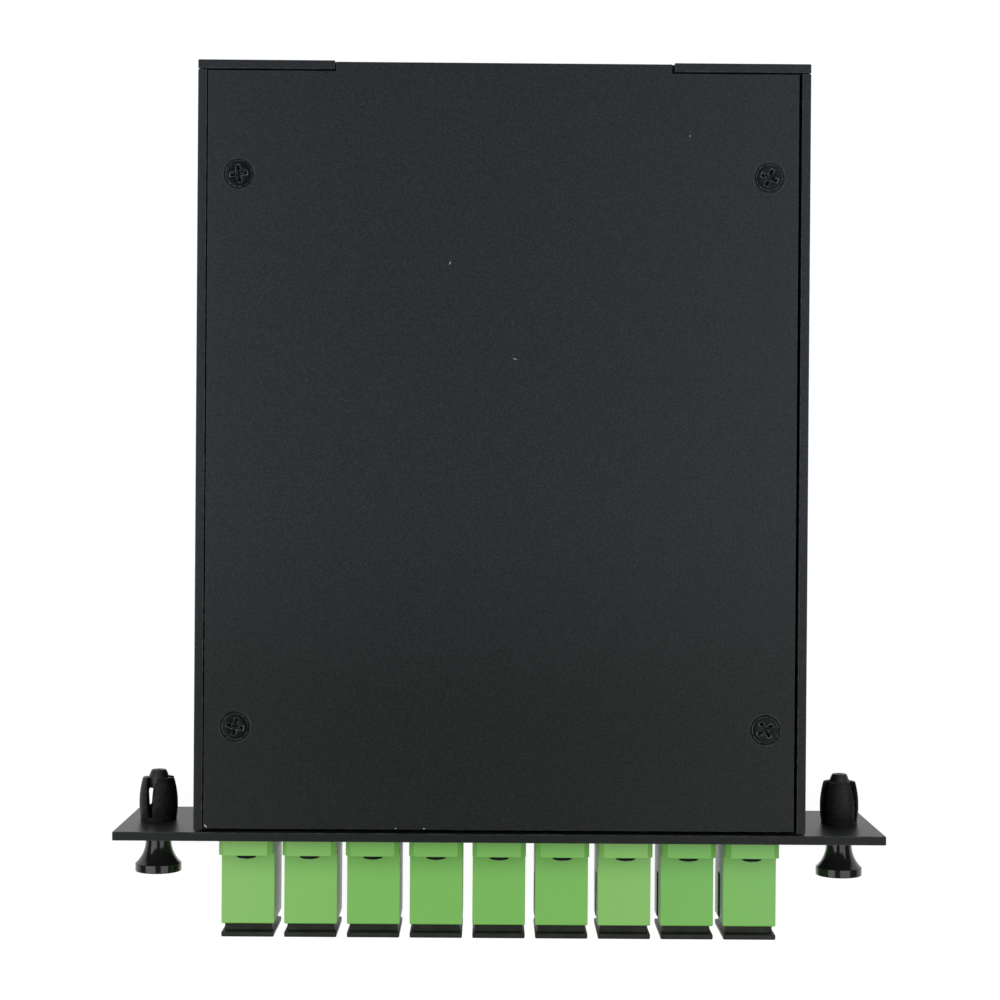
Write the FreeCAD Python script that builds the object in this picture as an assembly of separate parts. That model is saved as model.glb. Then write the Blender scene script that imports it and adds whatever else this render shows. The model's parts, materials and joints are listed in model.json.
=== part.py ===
import FreeCAD, Part
import math
import os

from FreeCAD import Vector

# Cassette with a one-to-eight optical splitter behind nine angled SC adapters.
# Millimetres. X is across the front panel, Y runs from the panel to the back, Z is up.
# The origin is on the underside of the case, midway between its sides and its ends.

# Folded sheet-metal case
SHEET = 1.5
BEND_INSIDE = 0.6
CASE_DEPTH = 131.3
ROW_SIDE_GAP = 2.485
EAR_WIDTH = 13.45
PANEL_MARGIN = 3.5
PANEL_RISE = 1.0
NOTCH_WIDTH = 57.1
SEAM_GAP = 0.15

# Flat lid, which lies between the walls, with a tongue in the notch of the back wall
LID_SIDE_GAP = 0.35
LID_SHIFT = -0.15
LID_FRONT_GAP = 0.5
LID_BACK_GAP = 0.3
TONGUE_GAP = 0.3
TONGUE_SETBACK = 0.24

# Lid screws and the angle brackets that they bite into
SCREW_SIDE_INSET = 5.4
SCREW_END_INSET = 17.65
SCREW_THREAD = 3.0
SCREW_LENGTH = 6.0
SCREW_HEAD = 4.8
HEAD_EDGE = 0.2
COUNTERSINK = 5.3
LID_HOLE_PLAY = 0.15
THREAD_PLAY = 0.05
RECESS_SPAN = 2.95
RECESS_WIDTH = 0.72
RECESS_DEPTH = 1.1
RECESS_BOTTOM_SPAN = 1.4
RECESS_BOTTOM_WIDTH = 0.5
RECESS_TURNS = (-12.0, 33.0, 8.0, -21.0)
BRACKET_SHEET = 1.2
BRACKET_BEND = 0.5
BRACKET_REACH = 10.4
BRACKET_DROP = 12.5
BRACKET_LENGTH = 12.0
NUT_FLANGE = 6.0
NUT_SHANK = 4.4
NUT_HEIGHT = 2.0

# Row of flanged adapters
ADAPTER_COUNT = 9
ADAPTER_GAP = 1.66
ADAPTER_WIDTH = 9.05
ADAPTER_HEIGHT = 12.9
ADAPTER_REACH = 12.4
ADAPTER_CORNER = 0.15
FLANGE_WIDTH = 9.1
FLANGE_THICKNESS = 3.0
FLANGE_CORNER = 0.9
PORT_WIDTH = 7.4
PORT_HEIGHT = 9.0
PORT_LIP = 3.2
HOOK_ROOM = 0.95
PORT_LEAD_IN = 0.35
KEYWAY_HEIGHT = 3.6
KEYWAY_LENGTH = 8.1
CUTOUT_PLAY = 0.15

# Screws and nuts that clamp the adapter flanges to the panel
FLANGE_SCREW_GAP = 2.55
FLANGE_SCREW_EDGE = 2.0
FLANGE_SCREW_HEAD = 3.3
FLANGE_SCREW_DOME = 0.8
FLANGE_SCREW_RIM = 0.5
FLANGE_SCREW_THREAD = 2.0
FLANGE_SCREW_PLAY = 0.15
FLANGE_NUT_FLATS = 4.0
FLANGE_NUT_THICKNESS = 1.6
FLANGE_SCREW_TAIL = 0.6

# Inside each adapter: two latching hooks around a split ceramic sleeve
HOOK_PLATE = 1.2
HOOK_PLAY = 0.1
HOOK_WIDTH = 4.8
HOOK_ARM = 0.75
HOOK_REACH = 9.0
HOOK_TIP = 1.0
HOOK_BITE = 0.85
BARREL_DIAMETER = 4.4
SLEEVE_DIAMETER = 3.2
SLEEVE_LENGTH = 11.4
SLEEVE_SLIT = 0.5
SLEEVE_PLAY = 0.06
FERRULE_DIAMETER = 2.5
FERRULE_TIP_GAP = 0.1
FERRULE_CHAMFER = 0.31

# Dust cap pushed into the front of each adapter
CAP_NECK_WIDTH = 8.1
CAP_NECK_HEIGHT = 10.9
CAP_NECK_LENGTH = 1.3
CAP_FLANGE_WIDTH = 9.0
CAP_FLANGE_HEIGHT = 13.8
CAP_FLANGE_THICKNESS = 0.9
CAP_FLARE = 0.38
CAP_PLUG_PLAY = 0.06
CAP_PLUG_LENGTH = 3.9
CAP_WALL = 1.2
CAP_PLUG_CORNER = 0.4

# Connector plugged into the back of each adapter
PLUG_PLAY = 0.06
PLUG_INSERTION = 11.0
PLUG_GRIP_LENGTH = 13.0
PLUG_WALL = 0.9
PLUG_WINDOW_WIDTH = 3.6
PLUG_CORNER = 0.6
KEY_PLAY = 0.24
KEY_BACK = 4.3
GROOVE_COUNT = 4
GROOVE_PITCH = 1.35
GROOVE_WIDTH = 0.45
GROOVE_DEPTH = 0.225
FRAME_PLAY = 0.1
FRAME_BORE = 3.6
FRAME_RECESS = 3.4
RAMP_WIDTH = 2.8
RAMP_LENGTH = 2.4
RAMP_CREST = 0.8
RAMP_GAP = 0.35
BOOT_LENGTH = 14.0
BOOT_ROOT = 4.6
BOOT_TIP = 2.2
BOOT_COLLAR = 0.8

# Panel latches: a split grommet in each ear, spread by a push-pull plunger
LATCH_EDGE = 5.6
LATCH_HOLE = 6.3
GROMMET_BODY = 6.1
GROMMET_FLANGE = 8.6
GROMMET_FLANGE_THICKNESS = 1.1
GROMMET_CHAMFER = 0.3
GROMMET_BARB = 6.6
GROMMET_BARB_AT = 4.3
GROMMET_TIP = 5.5
GROMMET_LENGTH = 7.35
GROMMET_RELIEF = 4.4
GROMMET_LIP = 1.8
GROMMET_COLLAR = 0.5
GROMMET_FINGERS = 3
GROMMET_SLOT = 0.7
GROMMET_SLOT_TIP = 1.8
GROMMET_TURNS = (-20.0, 52.0)
PLUNGER_SHAFT = 3.6
PLUNGER_GUIDE = 2.2
PLUNGER_WAIST = 2.0
PLUNGER_HEAD_LENGTH = 1.8
PLUNGER_PLAY = 0.1
PLUNGER_NOSE = 2.5
PLUNGER_NOSE_LENGTH = 1.3
PLUNGER_DIMPLE = 1.0
KNOB_NECK = 4.44
KNOB_NECK_END = 2.2
KNOB_FLARE_RADIUS = 5.2
KNOB_RIM = 8.0
KNOB_RIM_LENGTH = 1.38
KNOB_EDGE = 0.35

# Splitter module, its saddles and the fibres
MODULE_LENGTH = 50.0
MODULE_WIDTH = 10.0
MODULE_HEIGHT = 4.0
MODULE_CORNER = 0.8
MODULE_WALL = 0.4
MODULE_BACK_GAP = 2.1
SEAL_LENGTH = 3.0
CHIP_LENGTH = 22.0
CHIP_WIDTH = 3.2
CHIP_HEIGHT = 2.4
SADDLE_BASE = 1.2
SADDLE_JAW = 1.0
SADDLE_LENGTH = 8.0
SADDLE_LIP = 0.6
SADDLE_SPACING = 30.0
FIBRE_DIAMETER = 0.9
LANE_PITCH = 1.05
INNER_TURN_RADIUS = 12.0
FAN_TURN_RADIUS = 15.0
FAN_DEPTH = 35.0
FIBRE_LEAD = 1.0

# Sizes and places worked out from the sizes above
ADAPTER_PITCH = FLANGE_WIDTH + ADAPTER_GAP
ROW_WIDTH = (ADAPTER_COUNT - 1) * ADAPTER_PITCH + ADAPTER_WIDTH
CASE_WIDTH = ROW_WIDTH + 2 * (ROW_SIDE_GAP + SHEET)
PANEL_WIDTH = CASE_WIDTH + 2 * EAR_WIDTH
FLANGE_SCREW_OFFSET = ADAPTER_HEIGHT / 2 + FLANGE_SCREW_GAP
FLANGE_HEIGHT = 2 * (FLANGE_SCREW_OFFSET + FLANGE_SCREW_EDGE)
PANEL_HEIGHT = FLANGE_HEIGHT + 2 * PANEL_MARGIN
CASE_HEIGHT = PANEL_HEIGHT - PANEL_RISE
LATCH_X = PANEL_WIDTH / 2 - LATCH_EDGE
PANEL_FRONT = -CASE_DEPTH / 2
PANEL_BACK = PANEL_FRONT + SHEET
CASE_BACK = CASE_DEPTH / 2
BACK_INSIDE = CASE_BACK - SHEET
WALL_INSIDE = CASE_WIDTH / 2 - SHEET
BEND_OUTSIDE = SHEET + BEND_INSIDE
LID_UNDERSIDE = CASE_HEIGHT - SHEET
LID_HALF = WALL_INSIDE - LID_SIDE_GAP
AXIS_HEIGHT = PANEL_HEIGHT / 2
SCREW_X = WALL_INSIDE - SCREW_SIDE_INSET
SCREW_YS = (PANEL_BACK + SCREW_END_INSET, BACK_INSIDE - SCREW_END_INSET)
ADAPTER_MIDDLE = PANEL_FRONT - FLANGE_THICKNESS / 2
ADAPTER_HALF = ADAPTER_REACH + FLANGE_THICKNESS / 2
ADAPTER_XS = [(i - (ADAPTER_COUNT - 1) / 2) * ADAPTER_PITCH for i in range(ADAPTER_COUNT)]
BOOT_END = ADAPTER_HALF + PLUG_GRIP_LENGTH + BOOT_LENGTH
MODULE_LEVEL = SHEET + SADDLE_BASE + MODULE_HEIGHT / 2
MODULE_Y = BACK_INSIDE - MODULE_BACK_GAP - MODULE_WIDTH / 2

NEAR = 0.01
STRAIGHT = 1e-6
ORIGIN = Vector(0, 0, 0)
X = Vector(1, 0, 0)
Y = Vector(0, 1, 0)
Z = Vector(0, 0, 1)


def block(x0, x1, y0, y1, z0, z1):
    """Box between two values on each axis."""
    return Part.makeBox(x1 - x0, y1 - y0, z1 - z0, Vector(x0, y0, z0))


def bar(width, height, y0, y1, corner=0.0):
    """Bar along Y, centred on the Y axis, with its long edges rounded."""
    solid = block(-width / 2, width / 2, y0, y1, -height / 2, height / 2)
    if corner <= 0:
        return solid
    long_edges = [e for e in solid.Edges if abs(e.tangentAt(e.FirstParameter).y) > 0.5]
    return solid.makeFillet(corner, long_edges)


def turned(profile, axis):
    """Solid turned about the Y or Z axis from (radius, distance along the axis) points."""
    points = [X * radius + axis * along for radius, along in profile]
    return Part.Face(Part.makePolygon(points + points[:1])).revolve(ORIGIN, axis, 360)


def turned_outline(points, arcs):
    """Solid turned about the Y axis from an outline whose keyed legs bulge through a point."""
    ends = [Vector(radius, along, 0) for radius, along in points]
    edges = []
    for leg, (start, end) in enumerate(zip(ends, ends[1:] + ends[:1])):
        if leg in arcs:
            edges.append(Part.Arc(start, arcs[leg], end).toShape())
        else:
            edges.append(Part.makeLine(start, end))
    return Part.Face(Part.Wire(edges)).revolve(ORIGIN, Y, 360)


def ring(outer, inner, y0, y1):
    """Tube along Y."""
    profile = ((inner / 2, y0), (outer / 2, y0), (outer / 2, y1), (inner / 2, y1))
    return turned(profile, Y)


def mirrored(shape, normal):
    """Shape with its mirror image through the origin, as a list."""
    return [shape, shape.mirror(ORIGIN, normal)]


def moved(shape, x=0.0, y=0.0, z=0.0):
    """Copy of the shape at a new place."""
    return shape.translated(Vector(x, y, z))


def folded_angle(corner, leg, rise, run, leg_length, rise_length, length, sheet, inside):
    """Strip folded once: from its outer corner one side lies along leg, the other along rise."""
    outside = sheet + inside

    def at(a, b):
        return corner + leg * a + rise * b

    def bend(start, end, radius):
        middle = outside - radius / math.sqrt(2)
        return Part.Arc(at(*start), at(middle, middle), at(*end)).toShape()

    def line(start, end):
        return Part.makeLine(at(*start), at(*end))

    edges = [
        line((leg_length, 0), (outside, 0)),
        bend((outside, 0), (0, outside), outside),
        line((0, outside), (0, rise_length)),
        line((0, rise_length), (sheet, rise_length)),
        line((sheet, rise_length), (sheet, outside)),
        bend((sheet, outside), (outside, sheet), inside),
        line((outside, sheet), (leg_length, sheet)),
        line((leg_length, sheet), (leg_length, 0)),
    ]
    return Part.Face(Part.Wire(edges)).extrude(run * length)


def make_tray():
    """Floor, side walls, front panel with ears and notched back wall, folded from one sheet."""
    half = CASE_WIDTH / 2
    fold_half = half - BEND_OUTSIDE
    fold_end = CASE_DEPTH / 2 - BEND_OUTSIDE
    overlap = BEND_OUTSIDE + SHEET
    floor = block(-fold_half, fold_half, -fold_end, fold_end, 0, SHEET)

    wall_front = PANEL_BACK + SEAM_GAP
    wall_back = BACK_INSIDE - SEAM_GAP
    fold = folded_angle(Vector(half, -fold_end, 0), -X, Z, Y, overlap, CASE_HEIGHT,
                        2 * fold_end, SHEET, BEND_INSIDE)
    wall = block(WALL_INSIDE, half, wall_front, wall_back, BEND_OUTSIDE, CASE_HEIGHT)

    panel_fold = folded_angle(Vector(-fold_half, PANEL_FRONT, 0), Y, Z, X, overlap, PANEL_HEIGHT,
                              2 * fold_half, SHEET, BEND_INSIDE)
    ear = block(fold_half, PANEL_WIDTH / 2, PANEL_FRONT, PANEL_BACK, 0, PANEL_HEIGHT)

    back_fold = folded_angle(Vector(-fold_half, CASE_BACK, 0), -Y, Z, X, overlap, CASE_HEIGHT,
                             2 * fold_half, SHEET, BEND_INSIDE)
    back_end = block(fold_half, half, BACK_INSIDE, CASE_BACK, 0, CASE_HEIGHT)
    notch = block(-NOTCH_WIDTH / 2, NOTCH_WIDTH / 2, BACK_INSIDE - SHEET, CASE_BACK + SHEET,
                  LID_UNDERSIDE, PANEL_HEIGHT)

    sides = []
    for piece in (fold, wall, ear, back_end):
        sides += mirrored(piece, X)
    tray = floor.fuse([panel_fold, back_fold] + sides).removeSplitter()
    return tray.cut(panel_holes() + [notch])


def panel_holes():
    """Adapter cut-outs with their screw holes, and a latch hole in each ear."""
    y0, y1 = PANEL_FRONT - SHEET, PANEL_BACK + SHEET
    cutout = bar(ADAPTER_WIDTH + 2 * CUTOUT_PLAY, ADAPTER_HEIGHT + 2 * CUTOUT_PLAY, y0, y1)
    screw_radius = FLANGE_SCREW_THREAD / 2 + FLANGE_SCREW_PLAY
    holes = []
    for x in ADAPTER_XS:
        holes.append(moved(cutout, x, 0, AXIS_HEIGHT))
        for offset in (-FLANGE_SCREW_OFFSET, FLANGE_SCREW_OFFSET):
            centre = Vector(x, y0, AXIS_HEIGHT + offset)
            holes.append(Part.makeCylinder(screw_radius, y1 - y0, centre, Y))
    for x in (-LATCH_X, LATCH_X):
        holes.append(Part.makeCylinder(LATCH_HOLE / 2, y1 - y0, Vector(x, y0, AXIS_HEIGHT), Y))
    return holes


def make_lid():
    """Flat lid with four countersunk holes and a tongue that lies on the back wall."""
    front = PANEL_BACK + LID_FRONT_GAP
    back = BACK_INSIDE - LID_BACK_GAP
    plate = block(-LID_HALF, LID_HALF, front, back, LID_UNDERSIDE, CASE_HEIGHT)
    tongue_half = NOTCH_WIDTH / 2 - TONGUE_GAP
    tongue = block(-tongue_half, tongue_half, front, CASE_BACK - TONGUE_SETBACK,
                   LID_UNDERSIDE, CASE_HEIGHT)
    lid = moved(plate.fuse(tongue).removeSplitter(), LID_SHIFT)
    hole_radius = SCREW_THREAD / 2 + LID_HOLE_PLAY
    cone_depth = COUNTERSINK / 2 - hole_radius
    for x, y in screw_places():
        hole = turned(((0, -SHEET), (hole_radius, -SHEET), (hole_radius, -cone_depth),
                       (COUNTERSINK / 2, 0), (COUNTERSINK / 2, SHEET), (0, SHEET)), Z)
        lid = lid.cut(moved(hole, x, y, CASE_HEIGHT))
    return lid


def screw_places():
    """Centres of the four lid screws."""
    return [(x, y) for y in SCREW_YS for x in (-SCREW_X, SCREW_X)]


def make_lid_screws():
    """Countersunk cross-recess screws, each stopped at its own turn."""
    radius = SCREW_THREAD / 2
    head = SCREW_HEAD / 2
    head_top = CASE_HEIGHT - (COUNTERSINK - SCREW_HEAD) / 2 + HEAD_EDGE
    screw = turned(((0, 0), (head, 0), (head, -HEAD_EDGE), (radius, -HEAD_EDGE - head + radius),
                    (radius, -SCREW_LENGTH + radius / 2), (radius / 2, -SCREW_LENGTH),
                    (0, -SCREW_LENGTH)), Z)
    screws = []
    for (x, y), turn in zip(screw_places(), RECESS_TURNS):
        cut = screw
        for quarter in (0, 90):
            cut = cut.cut(recess_arm().rotated(ORIGIN, Z, turn + quarter))
        screws.append(moved(cut, x, y, head_top))
    return screws


def recess_arm():
    """One bar of the cross recess, narrowing to its bottom."""
    top = Part.makePolygon(rectangle(RECESS_SPAN, RECESS_WIDTH, 0))
    bottom = Part.makePolygon(rectangle(RECESS_BOTTOM_SPAN, RECESS_BOTTOM_WIDTH, -RECESS_DEPTH))
    return Part.makeLoft([top, bottom], True, True)


def rectangle(length, width, z):
    """Closed ring of points of a rectangle about the Z axis."""
    a, b = length / 2, width / 2
    return [Vector(-a, -b, z), Vector(a, -b, z), Vector(a, b, z), Vector(-a, b, z), Vector(-a, -b, z)]


def make_lid_brackets():
    """Angle brackets on the side walls that take the lid screws."""
    corner = Vector(WALL_INSIDE, -BRACKET_LENGTH / 2, LID_UNDERSIDE)
    angle = folded_angle(corner, -X, -Z, Y, BRACKET_REACH, BRACKET_DROP, BRACKET_LENGTH,
                         BRACKET_SHEET, BRACKET_BEND)
    hole = Part.makeCylinder(NUT_SHANK / 2 + THREAD_PLAY, 2 * BRACKET_SHEET,
                             Vector(SCREW_X, 0, LID_UNDERSIDE - 1.5 * BRACKET_SHEET))
    angle = angle.cut(hole)
    return [moved(side, 0, y) for y in SCREW_YS for side in mirrored(angle, X)]


def make_clinch_nuts():
    """Threaded nuts pressed into the brackets from below."""
    bore = SCREW_THREAD / 2 + THREAD_PLAY
    nut = turned(((bore, 0), (NUT_SHANK / 2, 0), (NUT_SHANK / 2, -BRACKET_SHEET),
                  (NUT_FLANGE / 2, -BRACKET_SHEET), (NUT_FLANGE / 2, -BRACKET_SHEET - NUT_HEIGHT),
                  (bore, -BRACKET_SHEET - NUT_HEIGHT)), Z)
    return [moved(nut, x, y, LID_UNDERSIDE) for x, y in screw_places()]


def make_adapter_shell():
    """Green adapter housing about its own axis, with a port at each end."""
    body = bar(ADAPTER_WIDTH, ADAPTER_HEIGHT, -ADAPTER_HALF, ADAPTER_HALF)
    outer_ends = [e for e in body.Edges if abs(abs(e.CenterOfMass.y) - ADAPTER_HALF) < NEAR]
    body = body.makeChamfer(ADAPTER_CORNER, outer_ends)
    half = FLANGE_THICKNESS / 2
    flange = bar(FLANGE_WIDTH, FLANGE_HEIGHT, -half, half, FLANGE_CORNER)
    port = bar(PORT_WIDTH, PORT_HEIGHT, -2 * ADAPTER_HALF, 2 * ADAPTER_HALF)
    room_end = ADAPTER_HALF - PORT_LIP
    room = bar(PORT_WIDTH, PORT_HEIGHT + 2 * HOOK_ROOM, -room_end, room_end)
    cuts = [port, room]
    for end in mirrored(lead_in(), Y):
        cuts.append(end)
    wall = (ADAPTER_WIDTH - PORT_WIDTH) / 2
    keyway = block(-PORT_WIDTH / 2 - 2 * wall, 0, ADAPTER_HALF - KEYWAY_LENGTH, 2 * ADAPTER_HALF,
                   -KEYWAY_HEIGHT / 2, KEYWAY_HEIGHT / 2)
    cuts += mirrored(keyway, Y)
    screw_radius = FLANGE_SCREW_THREAD / 2 + FLANGE_SCREW_PLAY
    for offset in (-FLANGE_SCREW_OFFSET, FLANGE_SCREW_OFFSET):
        cuts.append(Part.makeCylinder(screw_radius, 4 * half, Vector(0, -2 * half, offset), Y))
    return body.fuse(flange).cut(cuts)


def lead_in():
    """Flared mouth of the back port."""
    def mouth(y, grow):
        a = PORT_WIDTH / 2 + grow
        b = PORT_HEIGHT / 2 + grow
        corners = ((-a, -b), (a, -b), (a, b), (-a, b), (-a, -b))
        return Part.makePolygon([Vector(x, y, z) for x, z in corners])

    inner = mouth(ADAPTER_HALF - PORT_LEAD_IN, 0)
    return Part.makeLoft([inner, mouth(ADAPTER_HALF, PORT_LEAD_IN)], True, True)


def make_hook():
    """Rear latching hook: a base plate, half of the sleeve barrel and two sprung arms."""
    room = PORT_HEIGHT + 2 * HOOK_ROOM
    plate = bar(PORT_WIDTH - 2 * HOOK_PLAY, room - 2 * HOOK_PLAY, HOOK_PLAY / 2, HOOK_PLATE)
    barrel = Part.makeCylinder(BARREL_DIAMETER / 2, SLEEVE_LENGTH / 2, Vector(0, HOOK_PLAY / 2, 0), Y)
    outer = room / 2 - HOOK_PLAY
    inner = outer - HOOK_ARM
    bite = inner - HOOK_BITE
    arm_points = ((outer, 0), (outer, HOOK_REACH), (inner, HOOK_REACH), (bite, HOOK_REACH - HOOK_TIP / 2),
                  (bite, HOOK_REACH - HOOK_TIP), (inner, HOOK_REACH - HOOK_TIP), (inner, 0))
    points = [Vector(-HOOK_WIDTH / 2, HOOK_PLATE / 2 + y, z) for z, y in arm_points]
    arm = Part.Face(Part.makePolygon(points + points[:1])).extrude(X * HOOK_WIDTH)
    bore = Part.makeCylinder(SLEEVE_DIAMETER / 2 + SLEEVE_PLAY, SLEEVE_LENGTH, Vector(0, -HOOK_PLAY, 0), Y)
    return plate.fuse([barrel] + mirrored(arm, Z)).cut(bore).removeSplitter()


def make_sleeve():
    """Split alignment sleeve that holds two ferrules end to end."""
    half = SLEEVE_LENGTH / 2
    sleeve = ring(SLEEVE_DIAMETER, FERRULE_DIAMETER + 2 * SLEEVE_PLAY, -half, half)
    slit = block(-SLEEVE_SLIT / 2, SLEEVE_SLIT / 2, -SLEEVE_LENGTH, SLEEVE_LENGTH, 0, SLEEVE_DIAMETER)
    return sleeve.cut(slit)


def make_dust_cap():
    """Black cap: a hollow plug inside the front port, a neck and a flared finger flange."""
    mouth = -ADAPTER_HALF
    neck_end = mouth - CAP_NECK_LENGTH
    flange = bar(CAP_FLANGE_WIDTH, CAP_FLANGE_HEIGHT, neck_end - CAP_FLANGE_THICKNESS, neck_end)
    neck = bar(CAP_NECK_WIDTH, CAP_NECK_HEIGHT, neck_end - CAP_FLANGE_THICKNESS / 2, mouth)
    handle = flange.fuse(neck)
    corner_edges = [e for e in handle.Edges
                    if abs(e.CenterOfMass.y - neck_end) < NEAR
                    and abs(e.CenterOfMass.x) < CAP_NECK_WIDTH / 2 + NEAR
                    and abs(e.CenterOfMass.z) < CAP_NECK_HEIGHT / 2 + NEAR]
    handle = handle.makeFillet(CAP_FLARE, corner_edges)
    width = PORT_WIDTH - 2 * CAP_PLUG_PLAY
    height = PORT_HEIGHT - 2 * CAP_PLUG_PLAY
    plug = bar(width, height, mouth - CAP_NECK_LENGTH / 2, mouth + CAP_PLUG_LENGTH,
               CAP_PLUG_CORNER)
    hollow = bar(width - 2 * CAP_WALL, height - 2 * CAP_WALL, mouth, mouth + 2 * CAP_PLUG_LENGTH)
    return handle.fuse(plug).removeSplitter().cut(hollow)


def make_plug_housing():
    """Sliding outer grip of a rear connector, with its key and the two hook windows."""
    width = PORT_WIDTH - 2 * PLUG_PLAY
    height = PORT_HEIGHT - 2 * PLUG_PLAY
    start = ADAPTER_HALF - PLUG_INSERTION
    end = ADAPTER_HALF + PLUG_GRIP_LENGTH
    grip = bar(width, height, start, end, PLUG_CORNER)
    key_height = KEYWAY_HEIGHT - KEY_PLAY
    wall = (ADAPTER_WIDTH - PORT_WIDTH) / 2
    key_start = ADAPTER_HALF - KEYWAY_LENGTH + KEY_PLAY
    key = block(-width / 2 - wall, -width / 2 + PLUG_WALL / 2, key_start, end - KEY_BACK,
                -key_height / 2, key_height / 2)
    hollow = bar(width - 2 * PLUG_WALL, height - 2 * PLUG_WALL, start - PLUG_WALL, end - PLUG_WALL)
    window_end = HOOK_PLATE / 2 + HOOK_REACH + PLUG_WALL
    window = block(-PLUG_WINDOW_WIDTH / 2 - PLUG_WALL, PLUG_WINDOW_WIDTH / 2 + PLUG_WALL,
                   start - PLUG_WALL, window_end, -height, height)
    tail = Part.makeCylinder(BOOT_ROOT / 2 + FRAME_PLAY, 4 * PLUG_WALL,
                             Vector(0, end - 2 * PLUG_WALL, 0), Y)
    return grip.fuse(key).cut([hollow, window, tail] + grip_grooves(width, height, end))


def grip_grooves(width, height, end):
    """Shallow finger grooves round the back end of the grip, as solids to cut."""
    grooves = []
    for index in range(GROOVE_COUNT):
        y0 = end - 2 * PLUG_WALL - index * GROOVE_PITCH
        y1 = y0 + GROOVE_WIDTH
        core = bar(width - 2 * GROOVE_DEPTH, height - 2 * GROOVE_DEPTH, y0, y1)
        grooves.append(block(-width, width, y0, y1, -height, height).cut(core))
    return grooves


def make_plug_frame():
    """Inner frame of a rear connector, held by the hooks behind its two ramps."""
    width = PORT_WIDTH - 2 * PLUG_PLAY - 2 * PLUG_WALL - 2 * FRAME_PLAY
    height = PORT_HEIGHT - 2 * PLUG_PLAY - 2 * PLUG_WALL - 2 * FRAME_PLAY
    arm_tip = HOOK_PLATE / 2 + HOOK_REACH - HOOK_TIP
    bite = PORT_HEIGHT / 2 + HOOK_ROOM - HOOK_PLAY - HOOK_ARM - HOOK_BITE
    start = ADAPTER_HALF - PLUG_INSERTION + FRAME_PLAY
    end = ADAPTER_HALF + PLUG_GRIP_LENGTH - PLUG_WALL - FRAME_PLAY
    frame = bar(width, min(height, 2 * (bite - FRAME_PLAY)), start, end)
    ramp_back = arm_tip - RAMP_GAP
    ramp_height = PORT_HEIGHT / 2 + HOOK_ROOM - HOOK_PLAY - HOOK_ARM - FRAME_PLAY
    ramp_points = [Vector(-RAMP_WIDTH / 2, y, z) for y, z in
                   ((ramp_back - RAMP_LENGTH, 0), (ramp_back - RAMP_LENGTH, bite - FRAME_PLAY),
                    (ramp_back - RAMP_CREST, ramp_height), (ramp_back, ramp_height), (ramp_back, 0))]
    ramp = Part.Face(Part.makePolygon(ramp_points + ramp_points[:1])).extrude(X * RAMP_WIDTH)
    barrel_room = Part.makeCylinder(BARREL_DIAMETER / 2 + FRAME_PLAY, ferrule_seat(), ORIGIN, Y)
    bore = Part.makeCylinder(FERRULE_DIAMETER / 2 + SLEEVE_PLAY, ferrule_end() + SLEEVE_PLAY, ORIGIN, Y)
    return frame.fuse(mirrored(ramp, Z)).cut([barrel_room, bore])


def ferrule_seat():
    """Distance from the adapter's middle to the shoulder in the plug frame."""
    return SLEEVE_LENGTH / 2 + FRAME_RECESS


def ferrule_end():
    """Distance from the adapter's middle to the back of the ferrule."""
    return ferrule_seat() + FRAME_BORE


def make_ferrule():
    """Ceramic ferrule with its angled tip simplified to a chamfered end."""
    radius = FERRULE_DIAMETER / 2
    tip = FERRULE_TIP_GAP / 2
    return turned(((0, tip), (radius - FERRULE_CHAMFER, tip), (radius, tip + FERRULE_CHAMFER),
                   (radius, ferrule_end()), (0, ferrule_end())), Y)


def make_boot():
    """Tapered strain relief behind the connector, bored for the fibre."""
    end = ADAPTER_HALF + PLUG_GRIP_LENGTH
    root = BOOT_ROOT / 2
    tip = BOOT_TIP / 2
    bore = FIBRE_DIAMETER / 2
    solid = turned(((0, end - PLUG_WALL), (root, end - PLUG_WALL), (root, end + BOOT_COLLAR),
                    (root - BOOT_COLLAR / 2, end + 2 * BOOT_COLLAR), (tip, BOOT_END),
                    (bore, BOOT_END), (bore, BOOT_END - FIBRE_LEAD), (0, BOOT_END - FIBRE_LEAD)), Y)
    return solid


def at_adapters(shape):
    """Copies of a shape at every adapter place."""
    return [moved(shape, x, ADAPTER_MIDDLE, AXIS_HEIGHT) for x in ADAPTER_XS]


def make_flange_screw():
    """Domed screw through one flange ear, from the front face of the flange."""
    head = FLANGE_SCREW_HEAD / 2
    dome = FLANGE_SCREW_DOME
    face = -FLANGE_THICKNESS / 2
    radius = FLANGE_SCREW_THREAD / 2
    end = FLANGE_THICKNESS / 2 + SHEET + FLANGE_NUT_THICKNESS + FLANGE_SCREW_TAIL
    rise = dome - FLANGE_SCREW_RIM
    dome_radius = (head ** 2 + rise ** 2) / (2 * rise)
    half_angle = math.asin(head / dome_radius) / 2
    middle = Vector(dome_radius * math.sin(half_angle),
                    face - dome + dome_radius * (1 - math.cos(half_angle)), 0)
    outline = [(0, end), (radius, end), (radius, face), (head, face),
               (head, face - FLANGE_SCREW_RIM), (0, face - dome)]
    dome_leg = len(outline) - 2
    return turned_outline(outline, {dome_leg: middle})


def make_flange_nut():
    """Hexagonal nut behind the panel."""
    radius = FLANGE_NUT_FLATS / math.sqrt(3)
    start = FLANGE_THICKNESS / 2 + SHEET
    corners = [Vector(radius * math.cos(math.radians(60 * i)), start,
                      radius * math.sin(math.radians(60 * i))) for i in range(6)]
    hexagon = Part.Face(Part.makePolygon(corners + corners[:1])).extrude(Y * FLANGE_NUT_THICKNESS)
    bore = Part.makeCylinder(FLANGE_SCREW_THREAD / 2 + THREAD_PLAY, FLANGE_NUT_THICKNESS * 2,
                             Vector(0, start - FLANGE_NUT_THICKNESS / 2, 0), Y)
    return hexagon.cut(bore)


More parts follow.
